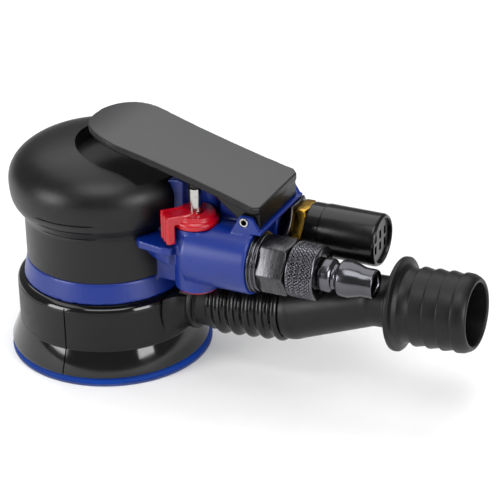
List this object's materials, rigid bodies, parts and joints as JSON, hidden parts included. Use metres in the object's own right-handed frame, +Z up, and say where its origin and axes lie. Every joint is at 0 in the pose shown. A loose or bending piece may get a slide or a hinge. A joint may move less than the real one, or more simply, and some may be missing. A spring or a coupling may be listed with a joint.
{
  "type": "pneumatic random orbital sander",
  "caption": "Palm-held air-driven random orbital sander with a press lever, air flow regulator, muffler and barbed dust hose outlet.",
  "frame": {"origin": "on the motor axis at the pad's working face", "axes": "+X towards the air plug and the dust hose fitting, +Z up along the motor axis, away from the work"},
  "size_m": [0.2193, 0.0904, 0.11],
  "materials": {
    "housing_blue": "satin moulded plastic",
    "grip_rubber": "soft satin rubber",
    "shroud_black": "semi-gloss moulded plastic",
    "black_plastic": "fine matte moulding",
    "bellows_rubber": "flexible rubber",
    "seal_rubber": "smooth",
    "steel": "ground",
    "bright_steel": "polished",
    "black_steel": "black nickel plate",
    "muffler_black": "black anodised, satin",
    "brass": "turned",
    "aluminium": "machined",
    "vane_composite": "phenolic laminate",
    "felt": "felt",
    "lever_grey": "satin, dark grey",
    "knob_red": "glossy moulding",
    "pad_black": "glass-filled plastic",
    "pad_blue": "soft urethane foam",
    "hook_fabric": "hook pile"
  },
  "bodies": {
    "housing": {"motor_housing": "housing_blue", "grip_cover": "grip_rubber", "shroud": "shroud_black", "lock_ring": "steel", "front_plate": "aluminium", "rear_plate": "aluminium", "cylinder": "steel", "cylinder_dowel": "steel", "front_bearing": "bright_steel", "rear_bearing": "bright_steel", "wave_washer": "steel", "lever_pin": "bright_steel", "plug_body": "black_steel", "inlet_screen": "steel", "plug_o_ring": "seal_rubber", "exhaust_nut": "black_steel", "exhaust_adapter": "brass", "muffler_can": "muffler_black", "muffler_cap": "muffler_black", "muffler_felt": "felt", "dust_port": "black_plastic", "dust_bellows": "bellows_rubber"},
    "trigger": {"lever": "lever_grey"},
    "regulator": {"speed_knob": "knob_red", "valve_plug": "knob_red", "knob_o_ring": "seal_rubber", "valve_spring": "steel"},
    "stem": {"valve_stem": "bright_steel"},
    "drive": {"shaft_balancer": "steel", "rotor": "steel", "rotor_vanes": "vane_composite", "rotor_key": "steel", "shaft_circlip": "steel", "spindle_bearings": "bright_steel", "bearing_circlip": "steel"},
    "pad": {"spindle": "steel", "pad_stud": "steel", "pad_plate": "pad_black", "pad_foam": "pad_blue", "hook_face": "hook_fabric"},
    "air_swivel": {"plug_swivel": "black_steel"},
    "dust_line": {"dust_tube": "black_plastic", "tube_clip": "black_plastic"},
    "hose_end": {"hose_fitting": "black_plastic"}
  },
  "joints": [
    {"name": "lever_press", "type": "hinge", "parent": "housing", "child": "trigger", "pos_m": [0.078, 0, 0.0828], "axis": [0, -1, 0], "range_deg": [0, 4.5], "stiffness_Nm_per_rad": 0.8, "springref_deg": -6.88},
    {"name": "speed_turn", "type": "hinge", "parent": "housing", "child": "regulator", "pos_m": [0.053, -0.016, 0.0466], "axis": [0, 0, 1], "range_deg": [-20, 6]},
    {"name": "valve_stroke", "type": "slide", "parent": "housing", "child": "stem", "axis": [0, 0, -1], "range_m": [0, 0.002], "deforming": ["valve_spring"]},
    {"name": "motor_spin", "type": "hinge", "parent": "housing", "child": "drive", "pos_m": [0, 0, 0.0585], "axis": [0, 0, 1], "continuous": true},
    {"name": "pad_spin", "type": "hinge", "parent": "drive", "child": "pad", "pos_m": [0, 0.00125, 0.0212], "axis": [0, 0, 1], "continuous": true},
    {"name": "plug_turn", "type": "hinge", "parent": "housing", "child": "air_swivel", "pos_m": [0.1, -0.016, 0.0633], "axis": [1, 0, 0], "continuous": true},
    {"name": "bellows_flex", "type": "hinge", "parent": "housing", "child": "dust_line", "pos_m": [0.0715, 0, 0.032], "axis": [0, -1, 0], "range_deg": [-10, 3], "stiffness_Nm_per_rad": 4, "deforming": ["dust_bellows"]},
    {"name": "hose_turn", "type": "hinge", "parent": "dust_line", "child": "hose_end", "pos_m": [0.141, 0, 0.0474], "axis": [0.998, 0, 0.0628], "continuous": true}
  ],
  "couplings": [
    {"joint": "valve_stroke", "follows": "lever_press", "m_per_rad": 0.025}
  ]
}
